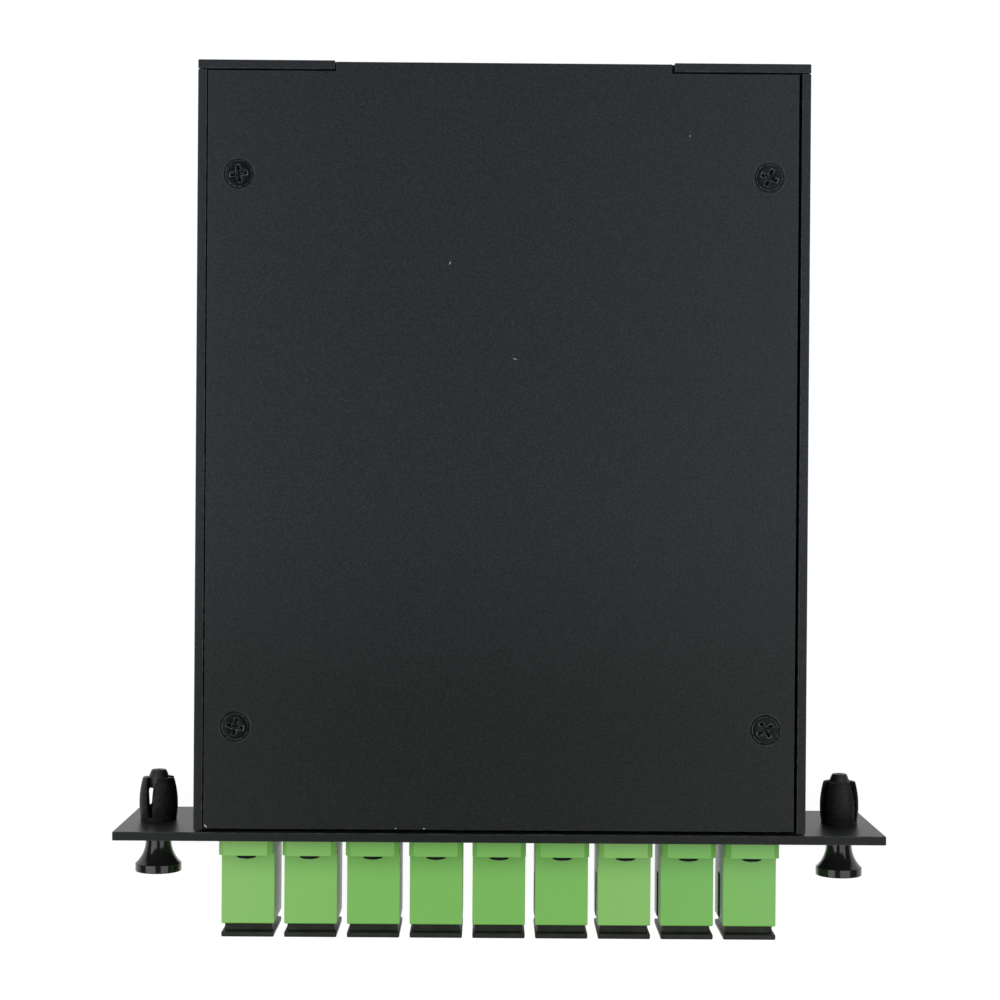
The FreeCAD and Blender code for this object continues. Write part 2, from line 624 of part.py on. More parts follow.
def at_flange_screws(shape):
    """Copies of a shape at both screw holes of every adapter."""
    offsets = (-FLANGE_SCREW_OFFSET, FLANGE_SCREW_OFFSET)
    return [moved(copy, 0, 0, offset) for copy in at_adapters(shape) for offset in offsets]


def make_grommet(turn):
    """Split nylon grommet: a flange in front of the ear and bowed, hollowed fingers behind it."""
    bore = PLUNGER_SHAFT / 2 + PLUNGER_PLAY
    relief = GROMMET_RELIEF / 2
    step = relief - bore
    relief_start = SHEET + PLUNGER_GUIDE
    flange = GROMMET_FLANGE / 2
    body = GROMMET_BODY / 2
    face = -GROMMET_FLANGE_THICKNESS
    end = SHEET + GROMMET_LENGTH
    lip = end - GROMMET_LIP
    outline = [(bore, face), (flange - GROMMET_CHAMFER, face), (flange, face + GROMMET_CHAMFER),
               (flange, 0), (body, 0), (body, SHEET), (GROMMET_TIP / 2, end), (bore, end),
               (bore, lip), (relief, lip - step), (relief, relief_start + step), (bore, relief_start)]
    bowed_leg = outline.index((body, SHEET))
    barb = Vector(GROMMET_BARB / 2, SHEET + GROMMET_BARB_AT, 0)
    solid = turned_outline(outline, {bowed_leg: barb})
    slot = finger_slot()
    spacing = 360 / GROMMET_FINGERS
    return solid.cut([slot.rotated(ORIGIN, Y, turn + spacing * i) for i in range(GROMMET_FINGERS)])


def finger_slot():
    """Solid that parts two fingers, widening from the collar behind the ear to their tips."""
    start = SHEET + GROMMET_COLLAR
    end = SHEET + GROMMET_LENGTH
    root = GROMMET_SLOT / 2
    wide = GROMMET_SLOT_TIP / 2
    corners = [Vector(x, y, 0) for x, y in
               ((-root, start), (root, start), (wide, end), (wide, 2 * end), (-wide, 2 * end), (-wide, end))]
    return Part.Face(Part.makePolygon(corners + corners[:1])).extrude(Z * GROMMET_BARB)


def make_plunger():
    """Flared knob, guide, thin waist and the head that spreads the grommet's fingers."""
    radius = PLUNGER_SHAFT / 2
    waist = PLUNGER_WAIST / 2
    waist_start = SHEET + PLUNGER_GUIDE
    nose = PLUNGER_NOSE / 2
    shaft_end = SHEET + GROMMET_LENGTH
    nose_end = shaft_end + PLUNGER_NOSE_LENGTH
    seat = -GROMMET_FLANGE_THICKNESS - PLUNGER_PLAY
    dimple = PLUNGER_DIMPLE / 2
    neck = KNOB_NECK / 2
    rim = KNOB_RIM / 2
    flare_angle = math.acos(1 - (rim - neck) / KNOB_FLARE_RADIUS)
    flare_end = -KNOB_NECK_END - KNOB_FLARE_RADIUS * math.sin(flare_angle)
    flare_middle = Vector(neck + KNOB_FLARE_RADIUS * (1 - math.cos(flare_angle / 2)),
                          -KNOB_NECK_END - KNOB_FLARE_RADIUS * math.sin(flare_angle / 2), 0)
    knob_end = flare_end - KNOB_RIM_LENGTH
    waist_end = shaft_end - PLUNGER_HEAD_LENGTH
    taper = radius - waist
    outline = [(0, nose_end - dimple), (dimple, nose_end), (nose, nose_end), (radius, shaft_end),
               (radius, waist_end), (waist, waist_end), (waist, waist_start + taper),
               (radius, waist_start), (radius, seat), (neck, seat), (neck, -KNOB_NECK_END),
               (rim, flare_end), (rim, knob_end + KNOB_EDGE), (rim - KNOB_EDGE, knob_end),
               (0, knob_end)]
    flare_leg = outline.index((neck, -KNOB_NECK_END))
    return turned_outline(outline, {flare_leg: flare_middle})


def at_latch(shape, side):
    """Shape at the left (-1) or right (+1) ear."""
    return moved(shape, side * LATCH_X, PANEL_FRONT, AXIS_HEIGHT)


def module_middle():
    """X of the module's middle: its outputs start where the outermost lane begins to turn."""
    return turn_centre_x() - MODULE_LENGTH / 2 - FIBRE_LEAD


def turn_centre_x():
    """X of the common centre of the output lanes' turns."""
    return ADAPTER_XS[-1] - lane_radius(ADAPTER_COUNT - 1)


def lane_radius(index):
    """Turn radius of the lane that feeds adapter number index, counted from 0."""
    return INNER_TURN_RADIUS + (index - 1) * LANE_PITCH


def turn_centre_y():
    """Y of the common centre, so that the middle of the lanes leaves the middle of the module."""
    middle_radius = (lane_radius(1) + lane_radius(ADAPTER_COUNT - 1)) / 2
    return MODULE_Y - middle_radius


def tube_section(length, shrink):
    """Rounded bar along X with the module's section, smaller by shrink on each side."""
    solid = bar(MODULE_WIDTH - 2 * shrink, MODULE_HEIGHT - 2 * shrink, -length / 2, length / 2,
                MODULE_CORNER - shrink)
    return moved(solid.rotated(ORIGIN, Z, 90), module_middle(), MODULE_Y, MODULE_LEVEL)


def make_module_tube():
    """Open-ended steel tube of the splitter module."""
    return tube_section(MODULE_LENGTH, 0).cut(tube_section(2 * MODULE_LENGTH, MODULE_WALL))


def make_module_seals():
    """Two rubber end seals inside the tube, flush with its ends."""
    inside = tube_section(MODULE_LENGTH, MODULE_WALL)
    core = tube_section(MODULE_LENGTH - 2 * SEAL_LENGTH, 0)
    return inside.cut(core).Solids


def make_module_chip():
    """Waveguide chip bonded to the floor of the tube."""
    floor = MODULE_LEVEL - MODULE_HEIGHT / 2 + MODULE_WALL
    x = module_middle()
    return block(x - CHIP_LENGTH / 2, x + CHIP_LENGTH / 2, MODULE_Y - CHIP_WIDTH / 2,
                 MODULE_Y + CHIP_WIDTH / 2, floor, floor + CHIP_HEIGHT)


def make_saddles():
    """Two moulded saddles that hold the module on the case floor."""
    half = MODULE_WIDTH / 2 + SADDLE_JAW
    top = SHEET + SADDLE_BASE + MODULE_HEIGHT
    saddle = block(-SADDLE_LENGTH / 2, SADDLE_LENGTH / 2, -half, half, SHEET, top + SADDLE_LIP)
    mouth = block(-SADDLE_LENGTH, SADDLE_LENGTH, -half + SADDLE_JAW + SADDLE_LIP,
                  half - SADDLE_JAW - SADDLE_LIP, top - SADDLE_LIP, top + 2 * SADDLE_LIP)
    saddle = moved(saddle.cut(mouth), module_middle(), MODULE_Y).cut(tube_section(MODULE_LENGTH, 0))
    return [moved(saddle, side * SADDLE_SPACING / 2) for side in (-1, 1)]


def tube_along(edges):
    """Fibre of round section along tangent straight runs and arcs."""
    wire = Part.Wire(edges)
    start = wire.Edges[0].valueAt(wire.Edges[0].FirstParameter)
    direction = wire.Edges[0].tangentAt(wire.Edges[0].FirstParameter)
    circle = Part.Wire(Part.makeCircle(FIBRE_DIAMETER / 2, start, direction))
    tube = wire.makePipeShell([circle], True, True)
    wanted = wire.Length * math.pi * FIBRE_DIAMETER ** 2 / 4
    print("fibre", round(wire.Length, 2), "mm, volume ratio", round(tube.Volume / wanted, 5))
    return tube


def heading(angle):
    """Unit vector in the XY plane, turned clockwise from +X by the angle."""
    return Vector(math.cos(angle), -math.sin(angle), 0)


def turn_arc(start, angle, turn, radius):
    """Arc that starts at a heading and turns clockwise by turn (or the other way if negative)."""
    side = 1 if turn > 0 else -1
    inward = heading(angle + side * math.pi / 2)
    centre = start + inward * radius
    middle = centre - heading(angle + turn / 2 + side * math.pi / 2) * radius
    end = centre - heading(angle + turn + side * math.pi / 2) * radius
    return Part.Arc(start, middle, end).toShape(), end


def climb(start, end_y, end_z):
    """Straight lead, two equal arcs up and a straight lead, all towards the adapters."""
    run = start.y - end_y - 2 * FIBRE_LEAD
    lift = end_z - start.z
    radius = (run ** 2 + lift ** 2) / (4 * lift)
    angle = math.asin(run / 2 / radius)
    a = start - Y * FIBRE_LEAD
    b = a - Y * (run / 2) + Z * (lift / 2)
    c = a - Y * run + Z * lift
    end = c - Y * FIBRE_LEAD
    first = a - Y * (radius * math.sin(angle / 2)) + Z * (radius * (1 - math.cos(angle / 2)))
    second = c + Y * (radius * math.sin(angle / 2)) - Z * (radius * (1 - math.cos(angle / 2)))
    print("climb radius", round(radius, 2))
    return [Part.makeLine(start, a), Part.Arc(a, first, b).toShape(),
            Part.Arc(b, second, c).toShape(), Part.makeLine(c, end)]


def boot_mouth_y():
    """Y where a fibre enters its boot."""
    return ADAPTER_MIDDLE + BOOT_END - FIBRE_LEAD


def make_output_fibre(index):
    """Fibre from the module to adapter number index: out, round, across the fan and up."""
    radius = lane_radius(index)
    centre_x = turn_centre_x()
    centre_y = turn_centre_y()
    start = Vector(centre_x - FIBRE_LEAD, centre_y + radius, MODULE_LEVEL)
    turn_start = Vector(centre_x, centre_y + radius, MODULE_LEVEL)
    across = centre_x - ADAPTER_XS[index] - FAN_TURN_RADIUS
    reach = math.hypot(FAN_DEPTH, across)
    slant = math.atan2(across, FAN_DEPTH) + math.asin((radius + FAN_TURN_RADIUS) / reach)
    edges = [Part.makeLine(start, turn_start)]
    arc, point = turn_arc(turn_start, 0, math.pi / 2 + slant, radius)
    edges.append(arc)
    if slant > STRAIGHT:
        run = (across + (radius + FAN_TURN_RADIUS) * math.cos(slant)) / math.sin(slant)
        bend_start = point + heading(math.pi / 2 + slant) * run
        edges.append(Part.makeLine(point, bend_start))
        arc, point = turn_arc(bend_start, math.pi / 2 + slant, -slant, FAN_TURN_RADIUS)
        edges.append(arc)
    else:
        fan_end = Vector(point.x, centre_y - FAN_DEPTH, MODULE_LEVEL)
        edges.append(Part.makeLine(point, fan_end))
        point = fan_end
    print("fibre", index + 1, "turns", round(radius, 2), "then", FAN_TURN_RADIUS)
    return tube_along(edges + climb(point, boot_mouth_y(), AXIS_HEIGHT))


def make_input_fibre():
    """Fibre from the first adapter to the other end of the module."""
    start = Vector(module_middle() - MODULE_LENGTH / 2, MODULE_Y, MODULE_LEVEL)
    turn_start = start - X * FIBRE_LEAD
    radius = turn_start.x - ADAPTER_XS[0]
    arc, point = turn_arc(turn_start, math.pi, -math.pi / 2, radius)
    fan_end = Vector(point.x, turn_centre_y() - FAN_DEPTH, MODULE_LEVEL)
    print("input fibre turns", round(radius, 2))
    edges = [Part.makeLine(start, turn_start), arc, Part.makeLine(point, fan_end)]
    return tube_along(edges + climb(fan_end, boot_mouth_y(), AXIS_HEIGHT))


def save(name, solids):
    """Write one node, from one solid or a group of separate ones."""
    if not isinstance(solids, list):
        solids = [solids]
    parts = [solid for shape in solids for solid in shape.Solids]
    shape = parts[0] if len(parts) == 1 else Part.makeCompound(parts)
    shape.exportStep("parts/" + name + ".step")
    faces = sum(len(part.Faces) for part in parts)
    print(name, len(parts), "solids,", faces, "faces, valid", shape.isValid())


def save_adapter_nodes():
    """One node for each adapter's shell, dust cap and rear connector grip."""
    groups = {
        "adapter_shell": at_adapters(make_adapter_shell()),
        "dust_cap": at_adapters(make_dust_cap()),
        "plug_housing": at_adapters(make_plug_housing()),
    }
    for name, shapes in groups.items():
        for number, shape in enumerate(shapes, start=1):
            save(name + "_" + str(number), shape)
    hook = make_hook()
    save("adapter_hooks", [copy for half in mirrored(hook, Y) for copy in at_adapters(half)])
    save("alignment_sleeves", at_adapters(make_sleeve()))
    save("plug_frames", at_adapters(make_plug_frame()))
    save("ferrules", at_adapters(make_ferrule()))
    save("plug_boots", at_adapters(make_boot()))
    save("flange_screws", at_flange_screws(make_flange_screw()))
    save("flange_nuts", at_flange_screws(make_flange_nut()))


def main():
    """Write every node of the cassette."""
    os.makedirs("parts", exist_ok=True)
    save("tray", make_tray())
    save("lid", make_lid())
    save("lid_screws", make_lid_screws())
    save("lid_brackets", make_lid_brackets())
    save("clinch_nuts", make_clinch_nuts())
    save_adapter_nodes()
    for name, side, turn in zip(("left", "right"), (-1, 1), GROMMET_TURNS):
        save("latch_grommet_" + name, at_latch(make_grommet(turn), side))
        save("latch_plunger_" + name, at_latch(make_plunger(), side))
    save("splitter_tube", make_module_tube())
    save("splitter_seals", make_module_seals())
    save("splitter_chip", make_module_chip())
    save("splitter_saddles", make_saddles())
    save("input_fibre", make_input_fibre())
    for index in range(1, ADAPTER_COUNT):
        save("output_fibre_" + str(index), make_output_fibre(index))


main()
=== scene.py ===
import json
import math

import bmesh
import bpy
from bpy.props import FloatProperty, FloatVectorProperty, PointerProperty
from mathutils import Matrix, Vector
from mathutils.bvhtree import BVHTree


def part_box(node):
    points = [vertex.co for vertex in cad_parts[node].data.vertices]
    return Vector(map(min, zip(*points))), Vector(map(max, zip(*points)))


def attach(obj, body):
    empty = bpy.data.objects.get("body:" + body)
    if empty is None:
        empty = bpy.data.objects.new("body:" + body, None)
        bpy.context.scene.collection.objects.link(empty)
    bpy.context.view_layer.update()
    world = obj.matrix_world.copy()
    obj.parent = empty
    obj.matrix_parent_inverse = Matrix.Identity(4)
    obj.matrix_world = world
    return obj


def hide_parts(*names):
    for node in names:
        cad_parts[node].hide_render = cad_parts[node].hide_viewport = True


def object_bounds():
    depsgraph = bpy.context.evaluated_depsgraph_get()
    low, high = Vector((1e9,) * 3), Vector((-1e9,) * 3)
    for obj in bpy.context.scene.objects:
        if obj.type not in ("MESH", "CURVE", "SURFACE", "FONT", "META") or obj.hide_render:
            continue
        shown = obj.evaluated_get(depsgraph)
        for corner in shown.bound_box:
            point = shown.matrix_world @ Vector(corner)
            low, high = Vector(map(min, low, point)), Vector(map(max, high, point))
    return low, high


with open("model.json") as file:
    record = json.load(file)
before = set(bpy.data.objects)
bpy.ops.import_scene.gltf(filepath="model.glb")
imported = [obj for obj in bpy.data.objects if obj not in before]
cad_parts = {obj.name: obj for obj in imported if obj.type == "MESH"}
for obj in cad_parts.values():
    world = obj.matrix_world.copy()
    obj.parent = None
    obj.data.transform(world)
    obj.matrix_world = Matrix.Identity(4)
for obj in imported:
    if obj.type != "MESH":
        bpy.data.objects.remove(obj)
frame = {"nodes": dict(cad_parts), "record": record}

bl_info = {
    "name": "Fibre splitter cassette",
    "version": (1, 0, 0),
    "blender": (4, 5, 0),
    "location": "View3D > Sidebar > Cassette",
    "description": "Dresses the packed splitter cassette: case, adapters, caps, latches and stage",
    "category": "Object",
}

CAD_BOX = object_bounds()
MM = 0.001
ADAPTERS = range(1, 10)
SIDES = ("left", "right")

# Vertices closer than this are one, flatter facets are merged, and sharper edges are rounded
WELD = 1e-6
FLAT = math.radians(0.5)
CREASE = math.radians(30)

# Edges sharper than this stay sharp in the shading of rounded pieces and of turned ones
ROUNDED_SHARP = math.radians(50)
TURNED_SHARP = math.radians(35)

# Share of a rounding past which a corner that it throws out goes back to the surface
THROWN_OUT = 0.6

# Grain that a mould leaves on plastic: really finer, but drawn coarse enough to show
MOULD_GRAIN = 0.22 * MM
FINE_MOULD_GRAIN = 0.2 * MM


def linear(hex_colour):
    """Linear colour of an sRGB hex value."""
    values = [int(hex_colour[i:i + 2], 16) / 255 for i in (1, 3, 5)]
    return [v / 12.92 if v <= 0.04045 else ((v + 0.055) / 1.055) ** 2.4 for v in values]


def length(name, description, millimetres):
    """Length property with its default in millimetres."""
    return FloatProperty(name=name, description=description, default=millimetres * MM,
                         min=0, unit="LENGTH", precision=6)


def colour(name, description, hex_colour):
    """Colour property with an sRGB hex default."""
    return FloatVectorProperty(name=name, description=description, default=linear(hex_colour),
                               size=3, min=0, max=1, subtype="COLOR")


class CassetteSizes(bpy.types.PropertyGroup):
    """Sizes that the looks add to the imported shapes."""
    sheet_edge: length("Sheet edge", "Rounding that the powder coat gives a cut sheet edge", 0.14)
    lid_edge: length("Lid edge", "Rounding of the lid's cut edges", 0.084)
    moulded_edge: length("Moulded edge", "Rounding of the adapters' outer edges", 0.09)
    flange_corner: length("Flange corner", "Flat that cuts each corner of an adapter's flange", 0.9)
    cap_edge: length("Cap edge", "Rounding of the dust caps' soft edges", 0.22)
    screw_edge: length("Screw edge", "Rounding of the lid screws' rims and recesses", 0.08)
    flange_screw_edge: length("Flange screw edge", "Rounding of the flange screws' rims", 0.032)
    screw_gap: length("Screw gap", "How far the lid screws' rims lie inside their countersinks", 0.15)
    grommet_edge: length("Grommet edge", "Rounding of the grommets' fingers", 0.12)
    knob_edge: length("Knob edge", "Rounding of the rim of the plungers' knobs", 0.18)
    paint_grain: length("Paint grain", "Width of one grain of the powder coat", 0.24)
    paint_mottle: length("Paint mottle", "Width of one cloud of the powder coat's tone", 0.9)


class CassetteColours(bpy.types.PropertyGroup):
    """Colours of the visible finishes."""
    # Painted sheen: the coat's cold blue-grey stands partly for a bluish sheen of light, which stays
    # on the back of the lid
    powder: colour("Powder coat", "Black of the case and lid", "#222528")
    powder_light: colour("Powder grain", "Lighter grains of the powder coat", "#32373C")
    # Painted shade: towards the front the coat is multiplied by this colour, which darkens and warms
    # it in place of shade and takes the painted sheen off
    painted_front_shade: colour("Powder, front", "Share of the coat's tone left at the front edge", "#DDD9C9")
    adapter: colour("Adapter", "Green of the adapters", "#6EB44F")
    adapter_pale: colour("Adapter, pale batch", "Yellower green of the paler adapters", "#82BE60")
    cap: colour("Dust cap", "Black of the dust caps", "#20221D")
    latch: colour("Grommet", "Black of the grommets", "#0E0F0E")
    knob: colour("Plunger", "Black of the plungers", "#1A1B1A")
    fastener: colour("Fastener", "Black of the screws", "#0F1213")


def sizes():
    """The scene's sizes."""
    return bpy.context.scene.cassette_sizes


def colours():
    """The scene's colours."""
    return bpy.context.scene.cassette_colours


def add_node(tree, kind, settings=None, inputs=None):
    """Add a node, set its properties, and set or link its inputs."""
    node = tree.nodes.new(kind)
    for name, value in (settings or {}).items():
        setattr(node, name, value)
    for key, value in (inputs or {}).items():
        if isinstance(value, bpy.types.NodeSocket):
            tree.links.new(value, node.inputs[key])
        else:
            node.inputs[key].default_value = value
    return node


def new_material(name):
    """Empty node material with its tree and output node."""
    material = bpy.data.materials.new(name)
    material.use_nodes = True
    tree = material.node_tree
    tree.nodes.clear()
    output = add_node(tree, "ShaderNodeOutputMaterial")
    return material, tree, output


def opaque(values):
    """Colour with an alpha of one."""
    return (*values, 1.0)


def grain(tree, place, size, detail=2.0):
    """Noise whose blobs are about as wide as the size."""
    return add_node(tree, "ShaderNodeTexNoise", inputs={
        "Vector": place, "Scale": 1 / size, "Detail": detail, "Roughness": 0.6})


def worn_and_lit_edges(tree, place, body, worn_and_lit, patch, most):
    """Socket of a colour that goes from the body's to a lighter one in patches along the edges: partly
    wear, partly a painted highlight where the edges catch the light.
    """
    edge = add_node(tree, "ShaderNodeAttribute", {"attribute_name": "edge"})
    patches = add_node(tree, "ShaderNodeMapRange", inputs={
        "Value": grain(tree, place, patch, 1.0).outputs[0],
        "From Min": 0.4, "From Max": 0.65, "To Min": most * 0.15, "To Max": most})
    share = add_node(tree, "ShaderNodeMath", {"operation": "MULTIPLY"}, {
        0: edge.outputs["Fac"], 1: patches.outputs["Result"]})
    mix = add_node(tree, "ShaderNodeMix", {"data_type": "RGBA"}, {
        "Factor": share.outputs["Value"], "A": body, "B": opaque(worn_and_lit)})
    return mix.outputs["Result"]


def powder_coat():
    """Polyester powder coat, sprayed and baked on steel sheet.

    The eye sees a dark satin skin with fine pebbles and faint clouds of blue and green. Its cold
    tone at the back is a painted bluish sheen, which darkens and warms towards the front as painted
    shade; and its edges are painted a little lighter, partly as wear and partly as a painted
    highlight."""
    # Painted sheen and shade: between these places along Y the coat goes from the cold sheen of the
    # back to the darker, warmer shade of the front
    shade_from, shade_to = -5 * MM, -50 * MM
    material, tree, output = new_material("powder_coat_black")
    place = add_node(tree, "ShaderNodeTexCoord").outputs["Object"]
    pebbles = grain(tree, place, sizes().paint_grain)
    clouds = grain(tree, place, sizes().paint_mottle, 1.0)
    drift = grain(tree, place, 60 * MM, 0.0)
    tone = add_node(tree, "ShaderNodeMapRange", inputs={
        "Value": pebbles.outputs[0], "From Min": 0.38, "From Max": 0.78})
    base = add_node(tree, "ShaderNodeMix", {"data_type": "RGBA"}, {
        "Factor": tone.outputs["Result"], "A": opaque(colours().powder),
        "B": opaque(colours().powder_light)})
    tint = add_node(tree, "ShaderNodeMix", {"data_type": "RGBA", "blend_type": "SOFT_LIGHT"}, {
        "Factor": 0.10, "A": base.outputs["Result"], "B": clouds.outputs["Color"]})
    # Painted shade towards the front, which also takes the painted bluish sheen off there
    along = add_node(tree, "ShaderNodeSeparateXYZ", inputs={"Vector": place})
    front = add_node(tree, "ShaderNodeMapRange", {"interpolation_type": "SMOOTHSTEP"}, {
        "Value": along.outputs["Y"], "From Min": shade_from, "From Max": shade_to})
    front_shaded = add_node(tree, "ShaderNodeMix", {"data_type": "RGBA", "blend_type": "MULTIPLY"}, {
        "Factor": front.outputs["Result"], "A": tint.outputs["Result"],
        "B": opaque(colours().painted_front_shade)})
    # Lighter edges: partly wear, partly a painted highlight where the edges catch the light
    worn_and_lit = worn_and_lit_edges(tree, place, front_shaded.outputs["Result"], linear("#55585A"), 1.5 * MM, 0.45)
    gloss = add_node(tree, "ShaderNodeMapRange", inputs={
        "Value": drift.outputs[0], "To Min": 0.32, "To Max": 0.38})
    bump = add_node(tree, "ShaderNodeBump", inputs={
        "Strength": 0.5, "Distance": 0.05 * MM, "Height": pebbles.outputs[0]})
    shader = add_node(tree, "ShaderNodeBsdfPrincipled", inputs={
        "Base Color": worn_and_lit, "Roughness": gloss.outputs["Result"],
        "Normal": bump.outputs["Normal"], "IOR": 1.5, "Specular IOR Level": 0.125})
    tree.links.new(shader.outputs["BSDF"], output.inputs["Surface"])
    return material


def moulded(name, base, pale, roughness, spread, cloud, relief, ior=1.5, subsurface=0.0, shine=0.5):
    """Moulded plastic: two tones that drift across the piece, and the mould's fine texture."""
    material, tree, output = new_material(name)
    place = add_node(tree, "ShaderNodeTexCoord").outputs["Object"]
    drift = grain(tree, place, cloud, 1.0)
    spark = grain(tree, place, MOULD_GRAIN)
    tone = add_node(tree, "ShaderNodeMapRange", inputs={
        "Value": drift.outputs[0], "From Min": 0.3, "From Max": 0.7})
    body = add_node(tree, "ShaderNodeMix", {"data_type": "RGBA"}, {
        "Factor": tone.outputs["Result"], "A": opaque(base), "B": opaque(pale)})
    gloss = add_node(tree, "ShaderNodeMapRange", inputs={
        "Value": spark.outputs[0], "To Min": roughness - spread, "To Max": roughness + spread})
    bump = add_node(tree, "ShaderNodeBump", inputs={
        "Strength": relief, "Distance": 0.02 * MM, "Height": spark.outputs[0]})
    shader = add_node(tree, "ShaderNodeBsdfPrincipled", inputs={
        "Base Color": body.outputs["Result"], "Roughness": gloss.outputs["Result"],
        "Normal": bump.outputs["Normal"], "IOR": ior, "Specular IOR Level": shine,
        "Subsurface Weight": subsurface,
        "Subsurface Radius": (0.4 * MM, 0.6 * MM, 0.3 * MM), "Subsurface Scale": 1.0})
    tree.links.new(shader.outputs["BSDF"], output.inputs["Surface"])
    return material


def green_pbt():
    """Moulded PBT: a dense, slightly waxy green whose tone differs from batch to batch."""
    material, tree, output = new_material("pbt_green_moulded")
    place = add_node(tree, "ShaderNodeTexCoord").outputs["Object"]
    batch = add_node(tree, "ShaderNodeAttribute", {"attribute_name": "batch"})
    flow = grain(tree, place, 3.0 * MM, 1.0)
    spark = grain(tree, place, FINE_MOULD_GRAIN)
    tone = add_node(tree, "ShaderNodeMapRange", inputs={
        "Value": flow.outputs[0], "From Min": 0.3, "From Max": 0.7, "To Min": -0.06, "To Max": 0.06})
    mix = add_node(tree, "ShaderNodeMath", {"operation": "ADD", "use_clamp": True}, {
        0: batch.outputs["Fac"], 1: tone.outputs["Result"]})
    body = add_node(tree, "ShaderNodeMix", {"data_type": "RGBA"}, {
        "Factor": mix.outputs["Value"], "A": opaque(colours().adapter),
        "B": opaque(colours().adapter_pale)})
    gloss = add_node(tree, "ShaderNodeMapRange", inputs={
        "Value": spark.outputs[0], "To Min": 0.30, "To Max": 0.40})
    bump = add_node(tree, "ShaderNodeBump", inputs={
        "Strength": 0.12, "Distance": 0.02 * MM, "Height": spark.outputs[0]})
    shader = add_node(tree, "ShaderNodeBsdfPrincipled", inputs={
        "Base Color": body.outputs["Result"], "Roughness": gloss.outputs["Result"],
        "Normal": bump.outputs["Normal"], "IOR": 1.55, "Subsurface Weight": 0.08,
        "Subsurface Radius": (0.3 * MM, 0.5 * MM, 0.2 * MM), "Subsurface Scale": 1.0})
    tree.links.new(shader.outputs["BSDF"], output.inputs["Surface"])
    return material


def metal(name, base, roughness, streak, along=(1, 1, 1)):
    """Metal whose gloss varies in streaks or flecks of the given size."""
    material, tree, output = new_material(name)
    place = add_node(tree, "ShaderNodeTexCoord").outputs["Object"]
    stretch = add_node(tree, "ShaderNodeMapping", inputs={"Vector": place, "Scale": along})
    flecks = grain(tree, stretch.outputs["Vector"], streak)
    gloss = add_node(tree, "ShaderNodeMapRange", inputs={
        "Value": flecks.outputs[0], "From Min": 0.3, "From Max": 0.7,
        "To Min": roughness * 0.8, "To Max": roughness * 1.3})
    bump = add_node(tree, "ShaderNodeBump", inputs={
        "Strength": 0.1, "Distance": 0.01 * MM, "Height": flecks.outputs[0]})
    shader = add_node(tree, "ShaderNodeBsdfPrincipled", inputs={
        "Base Color": opaque(base), "Metallic": 1.0, "Roughness": gloss.outputs["Result"],
        "Normal": bump.outputs["Normal"]})
    tree.links.new(shader.outputs["BSDF"], output.inputs["Surface"])
    return material


def black_zinc():
    """Black-passivated zinc plate on a turned steel screw: near black with a metal's sheen."""
    material, tree, output = new_material("black_zinc_plate")
    place = add_node(tree, "ShaderNodeTexCoord").outputs["Object"]
    flecks = grain(tree, place, 0.3 * MM)
    # Lighter rims and recess edges: partly wear, partly a painted highlight where the edges catch the
    # light
    worn_and_lit = worn_and_lit_edges(tree, place, opaque(colours().fastener), linear("#6C7274"), 0.6 * MM, 0.8)
    gloss = add_node(tree, "ShaderNodeMapRange", inputs={
        "Value": flecks.outputs[0], "To Min": 0.2, "To Max": 0.3})
    bump = add_node(tree, "ShaderNodeBump", inputs={
        "Strength": 0.2, "Distance": 0.02 * MM, "Height": flecks.outputs[0]})
    shader = add_node(tree, "ShaderNodeBsdfPrincipled", inputs={
        "Base Color": worn_and_lit, "Roughness": gloss.outputs["Result"],
        "Normal": bump.outputs["Normal"], "IOR": 1.5, "Specular IOR Level": 0.1})
    tree.links.new(shader.outputs["BSDF"], output.inputs["Surface"])
    return material


def polished_nylon():
    """Moulded nylon, polished on the knob so that it mirrors the lamps, matt behind the panel."""
    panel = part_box("tray")[0].y
    material, tree, output = new_material("nylon_black_polished")
    place = add_node(tree, "ShaderNodeTexCoord").outputs["Object"]
    along = add_node(tree, "ShaderNodeSeparateXYZ", inputs={"Vector": place})
    flow = grain(tree, place, 1.5 * MM, 1.0)
    ripple = add_node(tree, "ShaderNodeMapRange", inputs={
        "Value": flow.outputs[0], "To Min": 0.10, "To Max": 0.16})
    behind = add_node(tree, "ShaderNodeMapRange", inputs={
        "Value": along.outputs["Y"], "From Min": panel - 1 * MM, "From Max": panel,
        "To Min": 0.0, "To Max": 0.38})
    gloss = add_node(tree, "ShaderNodeMath", {"operation": "ADD"}, {
        0: ripple.outputs["Result"], 1: behind.outputs["Result"]})
    bump = add_node(tree, "ShaderNodeBump", inputs={
        "Strength": 0.04, "Distance": 0.02 * MM, "Height": flow.outputs[0]})
    shader = add_node(tree, "ShaderNodeBsdfPrincipled", inputs={
        "Base Color": opaque(colours().knob), "Roughness": gloss.outputs["Value"],
        "Normal": bump.outputs["Normal"], "IOR": 1.5})
    tree.links.new(shader.outputs["BSDF"], output.inputs["Surface"])
    return material


def silica():
    """Polished silica chip: clear, with a faint waviness in its polish."""
    material, tree, output = new_material("silica_polished")
    place = add_node(tree, "ShaderNodeTexCoord").outputs["Object"]
    waves = grain(tree, place, 0.8 * MM, 1.0)
    bump = add_node(tree, "ShaderNodeBump", inputs={
        "Strength": 0.05, "Distance": 0.01 * MM, "Height": waves.outputs[0]})
    shader = add_node(tree, "ShaderNodeBsdfPrincipled", inputs={
        "Base Color": opaque(linear("#E4EDF0")), "Roughness": 0.05, "IOR": 1.46,
        "Transmission Weight": 0.8, "Normal": bump.outputs["Normal"]})
    tree.links.new(shader.outputs["BSDF"], output.inputs["Surface"])
    return material


